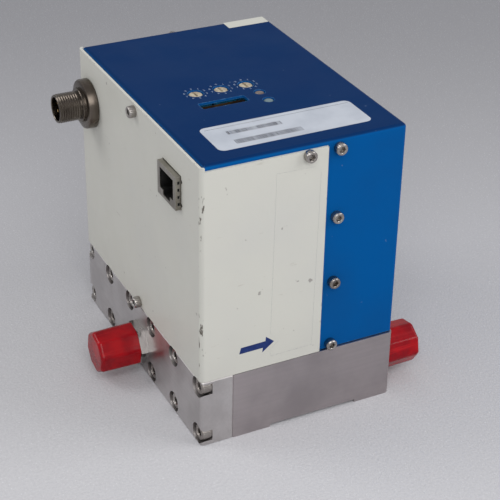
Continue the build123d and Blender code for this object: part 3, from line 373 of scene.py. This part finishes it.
# Mesh helpers
def finishPiece(bm, name, material, body=mainBody, smooth=True, angle=35):
    bmesh.ops.remove_doubles(bm, verts=bm.verts, dist=0.000001)
    bmesh.ops.recalc_face_normals(bm, faces=bm.faces)
    mesh = bpy.data.meshes.new(name)
    bm.to_mesh(mesh)
    bm.free()
    made = bpy.data.objects.new(name, mesh)
    bpy.context.scene.collection.objects.link(made)
    made.data.materials.append(material)
    if smooth:
        mesh.shade_smooth()
        mesh.set_sharp_from_angle(angle=math.radians(angle))
    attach(made, body)
    return made


def outward(spot, direction):  # local Z points along direction, spot in millimetres
    turned = Vector(direction).to_track_quat("Z", "Y").to_matrix().to_4x4()
    return Matrix.Translation(Vector(spot) * mm) @ turned


def roundRadius(radius):
    return lambda angle: radius


def hexRadius(across):
    return lambda angle: across / 2 / math.cos((angle % (math.pi / 3)) - math.pi / 6)


def knurlRadius(radius, ridges, depth):
    return lambda angle: radius - depth * (0.5 - 0.5 * math.cos(ridges * angle))


def stackRings(bm, rings, segments, matrix):  # each ring is a height and its radius at an angle
    current = bmesh.ops.create_circle(bm, segments=segments, radius=1.0)["verts"]
    made = list(current)
    loop = [e for e in bm.edges if e.verts[0] in current and e.verts[1] in current]
    for n, (height, radius) in enumerate(rings):
        if n > 0:
            grown = bmesh.ops.extrude_edge_only(bm, edges=loop)["geom"]
            current = [g for g in grown if isinstance(g, bmesh.types.BMVert)]
            loop = [g for g in grown if isinstance(g, bmesh.types.BMEdge)
                    and g.verts[0] in current and g.verts[1] in current]
            made += current
        for vert in current:
            angle = math.atan2(vert.co.y, vert.co.x)
            reach = radius(angle) * mm
            vert.co = Vector((math.cos(angle) * reach, math.sin(angle) * reach, height * mm))
    bmesh.ops.transform(bm, matrix=matrix, verts=made)


# Socket head screws with a knurled rim
screws = {
    "inlet_block_screws": {"head": 3.43, "height": 4.1, "shank": 2.0, "length": 18.0, "hex": 3.0, "ridges": 30},
    "main_cover_screws": {"head": 2.33, "height": 2.8, "shank": 1.42, "length": 6.0, "hex": 2.2, "ridges": 24},
    "side_cover_screws": {"head": 2.33, "height": 2.8, "shank": 1.42, "length": 6.0, "hex": 2.2, "ridges": 24},
}
knurlShare = 0.045  # depth of the knurl, as a share of the head
socketChamfer = 1.22  # mouth of the socket, as a share of half its width
poleRadius = 0.01  # leaves a hole of 0.02 mm at each pole
blockScrews = {"x": -37.1, "firstY": -56.0, "pitch": 22.4, "count": 6, "heights": (4.4, 26.2)}
coverScrews = {"columnX": 13.4, "columnY": 58.5, "wingX": 0.5, "rows": (32.15, 60.4333, 88.7167, 117.0)}
blockRow = [blockScrews["firstY"] + blockScrews["pitch"] * n for n in range(blockScrews["count"])]
wallRows = (coverScrews["rows"][0], coverScrews["rows"][-1])
screwSpots = {
    "inlet_block_screws": [((blockScrews["x"], y, z), (-1, 0, 0))
                           for y in blockRow for z in blockScrews["heights"]],
    "main_cover_screws": [((coverScrews["columnX"], side * coverScrews["columnY"], z), (0, side, 0))
                          for side in (-1, 1) for z in coverScrews["rows"]],
    "side_cover_screws": [((coverScrews["wingX"], side * block["back"], wallRows[-1]), (0, side, 0))
                          for side in (-1, 1)]
    + [((block["left"], 0, z), (-1, 0, 0)) for z in wallRows],
}


def addScrews(node, material):
    size = screws[node]
    head, height = size["head"], size["height"]
    knurl = knurlRadius(head, size["ridges"], knurlShare * head)
    mouth = size["hex"] / 2 * socketChamfer
    rings = [
        (-size["length"], roundRadius(poleRadius)), (-size["length"], roundRadius(size["shank"] * 0.8)),
        (-size["length"] + 0.4, roundRadius(size["shank"])), (0, roundRadius(size["shank"])),
        (0, roundRadius(head * 0.93)), (0.12 * height, knurl), (0.84 * height, knurl),
        (0.86 * height, roundRadius(head * 0.955)), (0.93 * height, roundRadius(head * 0.935)),
        (height, roundRadius(head * 0.86)), (height, roundRadius(mouth)),
        (0.93 * height, hexRadius(size["hex"])), (0.42 * height, hexRadius(size["hex"])),
        (0.36 * height, roundRadius(poleRadius)),
    ]
    bm = bmesh.new()
    for spot, direction in screwSpots[node]:
        stackRings(bm, rings, size["ridges"] * 4, outward(spot, direction))
    made = finishPiece(bm, node + "_knurled", material, angle=28)
    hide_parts(node)


# Fittings and connector, turned on a lathe
fitting = {"spigot": 5.0, "spigotLength": 4.0, "relief": 6.2, "reliefLength": 1.6, "thread": 7.14, "root": 6.42,
           "pitch": 1.41, "length": 12.0, "bead": 4.4, "beadHeight": 1.2, "bore": 2.3,
           "inletShoulder": 3.2, "inletAcross": 15.88, "outletShoulder": 0.4}


def threadRings(start, end, pitch, root, crest):
    rings = []
    turns = int((end - start) / pitch)
    for n in range(turns):
        base = start + n * pitch
        rings += [(base + 0.12 * pitch, roundRadius(root)), (base + 0.42 * pitch, roundRadius(crest)),
                  (base + 0.62 * pitch, roundRadius(crest)), (base + 0.92 * pitch, roundRadius(root))]
    return rings


def addFitting(node, spot, direction, shoulder, across, material):
    f = fitting
    stem = shoulder + f["reliefLength"]
    end = shoulder + f["length"]
    collar = hexRadius(across) if across else roundRadius(f["thread"])
    rings = [(-f["spigotLength"], roundRadius(f["bore"])), (-f["spigotLength"], roundRadius(f["spigot"])),
             (0, roundRadius(f["spigot"])), (0, collar), (shoulder, collar),
             (shoulder, roundRadius(f["relief"])), (stem, roundRadius(f["relief"]))]
    rings += threadRings(stem, end - 0.8, f["pitch"], f["root"], f["thread"])
    rings += [(end - 0.3, roundRadius(f["root"])), (end, roundRadius(f["root"] - 0.3)),
              (end, roundRadius(f["bead"])), (end + 0.8, roundRadius(f["bead"] - 0.15)),
              (end + f["beadHeight"], roundRadius(f["bead"] - 0.8)),
              (end + f["beadHeight"], roundRadius(f["bore"] + 0.5)), (end + 0.9, roundRadius(f["bore"])),
              (-f["spigotLength"], roundRadius(f["bore"]))]
    bm = bmesh.new()
    stackRings(bm, rings, 72, outward(spot, direction))
    made = finishPiece(bm, node + "_threaded", material, angle=30)
    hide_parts(node)


connector = {"spot": (-42.0, 47.5, 100.6), "flange": 10.2, "flangeLength": 4.4, "collar": 7.1,
             "collarLength": 1.3, "thread": 6.0, "root": 5.72, "pitch": 1.0, "length": 15.2, "bore": 4.9,
             "neck": 7.4, "neckLength": 8.0,
             "keySpot": (-54.2, 47.5, 105.15), "keySize": (5, 1.1, 0.9)}


def addConnector(material):
    c = connector
    collarEnd = c["flangeLength"] + c["collarLength"]
    rings = [(-c["neckLength"], roundRadius(c["bore"])), (-c["neckLength"], roundRadius(c["neck"])),
             (0, roundRadius(c["neck"])), (0, roundRadius(c["flange"] - 0.5)), (0.4, roundRadius(c["flange"])),
             (c["flangeLength"] - 1.0, roundRadius(c["flange"])),
             (c["flangeLength"] - 0.3, roundRadius(c["flange"] - 0.35)),
             (c["flangeLength"], roundRadius(c["flange"] - 1.0)), (c["flangeLength"], roundRadius(c["collar"])),
             (collarEnd - 0.2, roundRadius(c["collar"])), (collarEnd, roundRadius(c["collar"] - 0.2)),
             (collarEnd, roundRadius(c["root"])), (collarEnd + 0.6, roundRadius(c["root"]))]
    rings += threadRings(collarEnd + 0.6, c["length"] - 0.6, c["pitch"], c["root"], c["thread"])
    rings += [(c["length"] - 0.4, roundRadius(c["thread"] - 0.1)),
              (c["length"], roundRadius(c["thread"] - 0.4)),
              (c["length"], roundRadius(c["bore"] + 0.2)), (c["length"] - 0.2, roundRadius(c["bore"])),
              (-c["neckLength"], roundRadius(c["bore"]))]
    bm = bmesh.new()
    stackRings(bm, rings, 96, outward(c["spot"], (-1, 0, 0)))
    keyed = bmesh.ops.create_cube(bm, size=1.0)["verts"]
    shape = Matrix.Diagonal((*(size * mm for size in c["keySize"]), 1))
    bmesh.ops.transform(bm, matrix=Matrix.Translation(Vector(c["keySpot"]) * mm) @ shape, verts=keyed)
    made = finishPiece(bm, "connector_shell_threaded", material, angle=30)
    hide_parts("connector_shell")


# Prints and labels: thin plates a few hundredths of a millimetre proud of the paint
def plate(bm, outline, thickness, matrix, ringWidth=None):  # outline in millimetres, on local X and Y
    face = bm.faces.new([bm.verts.new((x * mm, y * mm, 0)) for x, y in outline])
    faces = [face]
    if ringWidth:  # meant as a line round the outline, but the inset comes out without width
        faces = list(bmesh.ops.inset_region(bm, faces=[face], thickness=ringWidth * mm, use_boundary=True,
                                            use_even_offset=True)["faces"])
        bmesh.ops.delete(bm, geom=[face], context="FACES_ONLY")
    made = list(dict.fromkeys(v for f in faces for v in f.verts))
    grown = bmesh.ops.extrude_face_region(bm, geom=faces, use_keep_orig=True)["geom"]
    top = [g for g in grown if isinstance(g, bmesh.types.BMVert)]
    bmesh.ops.translate(bm, verts=top, vec=(0, 0, thickness * mm))
    bmesh.ops.transform(bm, matrix=matrix, verts=made + top)


cornerSteps = 6


def roundedBox(width, height, radius, spot):
    outline = []
    for corner, (sx, sy) in enumerate(((1, 1), (-1, 1), (-1, -1), (1, -1))):
        for n in range(cornerSteps + 1):
            angle = math.pi / 2 * (corner + n / cornerSteps)
            outline.append((spot[0] + sx * (width / 2 - radius) + radius * math.cos(angle),
                            spot[1] + sy * (height / 2 - radius) + radius * math.sin(angle)))
    return outline


def onFront():  # local X to the right, local Y up, from the lower left corner of the front
    corner = Vector((block["left"], block["front"], 0)) * mm
    return Matrix.Translation(corner) @ Matrix.Rotation(math.pi / 2, 4, "X")


def onTop(proud=0.0):
    return Matrix.Translation(Vector((0, 0, block["roof"] + proud)) * mm)


prints = {
    "frameCorners": [(29.0, 44.2), (29.8, 112.1), (45.8, 111.7), (47.9, 109.4), (47.0, 34.3), (29.3, 34.0),
                     (28.9, 37.2), (32.4, 40.0)],
    "frameLine": 0.5,
    "arrow": [(16.6, 41.3), (15.9, 38.6), (25.9, 38.75), (25.6, 36.7), (30.6, 40.5), (27.1, 43.4),
              (26.9, 41.5)],
    "thickness": 0.03,
}


def addFrontPrints(ink):
    bm = bmesh.new()
    corners = prints["frameCorners"]
    plate(bm, list(reversed(corners)), prints["thickness"], onFront(), prints["frameLine"])
    finishPiece(bm, "front_frame_line", ink, smooth=False)
    bm = bmesh.new()
    plate(bm, prints["arrow"], prints["thickness"], onFront())
    finishPiece(bm, "front_flow_arrow", ink, smooth=False)


labels = {
    "main": {"width": 62.3, "depth": 19.4, "radius": 2.6, "spot": (0.85, -41.1)},
    "corner": {"width": 18.5, "depth": 6.2, "radius": 0.4, "spot": (31.7, 55.0)},
    "thickness": 0.07,
    "barRows": [{"start": -21.8, "end": -0.2, "y": -38.4, "height": 2.7},
                {"start": -22.0, "end": 5.0, "y": -46.0, "height": 3.2}],
    "barWidths": (0.16, 0.16, 0.3, 0.45),
    "barGaps": (0.18, 0.28, 0.42),
    "divider": {"start": -28.5, "end": 31.0, "y": -33.6, "width": 0.15},
    "inkThickness": 0.01,
    "seed": 7,
}


def rectangle(left, right, low, high):
    return [(left, low), (right, low), (right, high), (left, high)]


def addLabels(papers, ink):
    for name in ("main", "corner"):
        label = labels[name]
        bm = bmesh.new()
        outline = roundedBox(label["width"], label["depth"], label["radius"], label["spot"])
        plate(bm, outline, labels["thickness"], onTop())
        finishPiece(bm, f"top_label_{name}", papers[name], smooth=False)
    bm = bmesh.new()
    draw = random.Random(labels["seed"])
    over = onTop(labels["thickness"])
    for row in labels["barRows"]:
        x = row["start"]
        while x < row["end"]:
            width = draw.choice(labels["barWidths"])
            bar = rectangle(x, x + width, row["y"] - row["height"] / 2, row["y"] + row["height"] / 2)
            plate(bm, bar, labels["inkThickness"], over)
            x += width + draw.choice(labels["barGaps"])
    line = labels["divider"]
    divider = rectangle(line["start"], line["end"], line["y"], line["y"] + line["width"])
    plate(bm, divider, labels["inkThickness"], over)
    finishPiece(bm, "label_bars", ink, smooth=False)


dials = {"spots": (-17.8, -7.2, 3.4), "y": -2.4, "ringRadius": 4.35, "digitSize": 1.625, "thickness": 0.01,
         "count": 10}


def addDialNumbers(ink):
    bm = bmesh.new()
    for x in dials["spots"]:
        for n in range(dials["count"]):
            angle = math.pi / 2 - 2 * math.pi * n / dials["count"]
            curve = bpy.data.curves.new("digit", "FONT")
            curve.body = str(n)
            curve.size = dials["digitSize"] * mm
            curve.align_x = "CENTER"
            curve.align_y = "CENTER"
            curve.resolution_u = 2
            curve.extrude = dials["thickness"] * mm
            holder = bpy.data.objects.new("digit", curve)
            mesh = bpy.data.meshes.new_from_object(holder)
            across, along = dials["ringRadius"] * math.cos(angle), dials["ringRadius"] * math.sin(angle)
            spot = Vector((x + across, dials["y"] + along, 0)) * mm
            mesh.transform(Matrix.Translation(spot) @ onTop(dials["thickness"]))
            bm.from_mesh(mesh)
            bpy.data.objects.remove(holder)
            bpy.data.meshes.remove(mesh)
            bpy.data.curves.remove(curve)
    finishPiece(bm, "dial_numbers", ink, smooth=False)


# Studio: floor, world and lamps
studio = {
    "floor": (0.56, 0.555, 0.575),
    "floorFarShade": (0.30, 0.298, 0.315),
    "floorGrain": (0.36, 0.36, 0.39),
    "floorSpark": (0.74, 0.74, 0.77),
    "floorSize": 2.5,
    "away": (0.45, 0.89, 0),  # the way in which the painted light falloff darkens the floor
    "world": 0.52,
    "worldColour": (0.97, 0.98, 1.0),
    "lamps": {
        "key": {"spot": (-0.35, -1.0, 0.95), "aim": (0, 0, 0.05), "size": 0.9, "power": 9.0},
        "fill": {"spot": (0.95, -0.6, 0.7), "aim": (0, 0, 0.05), "size": 0.8, "power": 6.0},
        "rim": {"spot": (-0.8, 0.5, 0.8), "aim": (0, 0, 0.08), "size": 0.5, "power": 3.0},
    },
}


def addFloor():
    bm = bmesh.new()
    bmesh.ops.create_grid(bm, x_segments=2, y_segments=2, size=studio["floorSize"])
    mesh = bpy.data.meshes.new("floor")
    bm.to_mesh(mesh)
    bm.free()
    floor = bpy.data.objects.new("floor", mesh)
    bpy.context.scene.collection.objects.link(floor)
    material, tree, shader = startMaterial("floor foam", studio["floor"], 0.85)
    spot = place(tree)
    away = addNode(tree, "ShaderNodeVectorMath", operation="DOT_PRODUCT")
    tree.links.new(spot, away.inputs[0])
    away.inputs[1].default_value = studio["away"]
    # The floor is coloured darker away from the camera: painted falloff of the light from lamps near the camera
    lightFalloff = step(tree, away.outputs["Value"], -0.16, 0.42)
    colour = mixColour(tree, lightFalloff, studio["floor"], studio["floorFarShade"])
    grain = noise(tree, spot, 900, 4, 0.6)
    colour = mixColour(tree, step(tree, grain, 0.42, 0.62, 0.0, 0.16), colour, studio["floorGrain"])
    spark = step(tree, noise(tree, spot, 1300, 2), 0.62, 0.72, 0.0, 0.5)
    colour = mixColour(tree, spark, colour, studio["floorSpark"])
    tree.links.new(colour, shader.inputs["Base Color"])
    shader.inputs["Specular IOR Level"].default_value = 0.2
    bump(tree, shader, grain, 0.0005, 0.5)
    mesh.materials.append(material)


def addLights():
    world = bpy.data.worlds.new("studio")
    bpy.context.scene.world = world
    world.use_nodes = True
    background = world.node_tree.nodes["Background"]
    background.inputs["Color"].default_value = (*studio["worldColour"], 1)
    background.inputs["Strength"].default_value = studio["world"]
    for name, lamp in studio["lamps"].items():
        data = bpy.data.lights.new(name, "AREA")
        data.size = lamp["size"]
        data.energy = lamp["power"]
        made = bpy.data.objects.new(name, data)
        bpy.context.scene.collection.objects.link(made)
        made.location = lamp["spot"]
        made.rotation_euler = (Vector(lamp["aim"]) - Vector(lamp["spot"])).to_track_quat("-Z", "Y").to_euler()


print("camera and studio")
addCamera()
addFloor()
addLights()
bpy.context.scene.view_settings.view_transform = "Standard"

print("materials")
finishes = {name: metal(name) for name in metals}
finishes.update({name: plastic(name) for name in plastics})
finishes["blue paint"] = bluePaint()
finishes["cream paint"] = creamPaint()
finishes["red plastic"] = redPlastic()

coats = {
    "block steel": ["flow_body"],
    "slab steel": ["inlet_block"],
    "screw steel": ["sensor_screws", "valve_screws", "side_bracket_screws", "control_board_screws",
                    "main_board_screws", "clinch_nuts", "board_standoffs", "inlet_block_screws",
                    "main_cover_screws", "side_cover_screws"],
    "fitting steel": ["inlet_fitting", "outlet_fitting_front", "outlet_fitting_rear", "bypass_element_front",
                      "bypass_element_rear"],
    "sensor steel": ["sensor_base_front", "sensor_base_rear", "sensor_can_front", "sensor_can_rear",
                     "sensor_tube_front", "sensor_tube_rear"],
    "valve steel": ["valve_body_front", "valve_body_rear", "valve_nut_front", "valve_nut_rear",
                    "valve_plunger_front", "valve_plunger_rear"],
    "frame aluminium": ["front_post", "rear_post", "side_bracket"],
    "jack metal": ["network_jack_shield"],
    "connector metal": ["connector_shell", "connector_nut"],
    "contact gold": ["network_jack_contacts", "connector_pins"],
    "coil black": ["valve_coil_front", "valve_coil_rear"],
    "seal rubber": ["inlet_block_seals", "sensor_seals", "valve_seals"],
    "board green": ["control_board", "main_board"],
    "dial cream": ["rate_dial", "tens_dial", "ones_dial"],
    "switch blue": ["rotary_switch_bodies"],
    "socket black": ["service_socket"],
    "jack black": ["network_jack_insert"],
    "connector black": ["connector_insert"],
    "network lens": ["network_light"],
    "module lens": ["module_light"],
    "blue paint": ["main_cover"],
    "cream paint": ["side_cover"],
    "red plastic": ["inlet_cap", "outlet_cap_front", "outlet_cap_rear"],
}
for finish, members in coats.items():
    for member in members:
        nodes[member].data.materials.clear()
        nodes[member].data.materials.append(finishes[finish])

print("screws")
for node in screws:
    addScrews(node, finishes["screw steel"])

print("fittings and connector")
addFitting("inlet_fitting", (block["left"], 0, flowAxisHeight), (-1, 0, 0), fitting["inletShoulder"],
           fitting["inletAcross"], finishes["fitting steel"])
for end, side in (("front", -1), ("rear", 1)):
    addFitting(f"outlet_fitting_{end}", (block["right"], side * channelOffset, flowAxisHeight), (1, 0, 0),
               fitting["outletShoulder"], None, finishes["fitting steel"])
addConnector(finishes["connector metal"])

print("prints and labels")
addFrontPrints(finishes["navy ink"])
addLabels({"main": finishes["label paper"], "corner": finishes["cream paint"]}, finishes["black ink"])
addDialNumbers(finishes["white ink"])
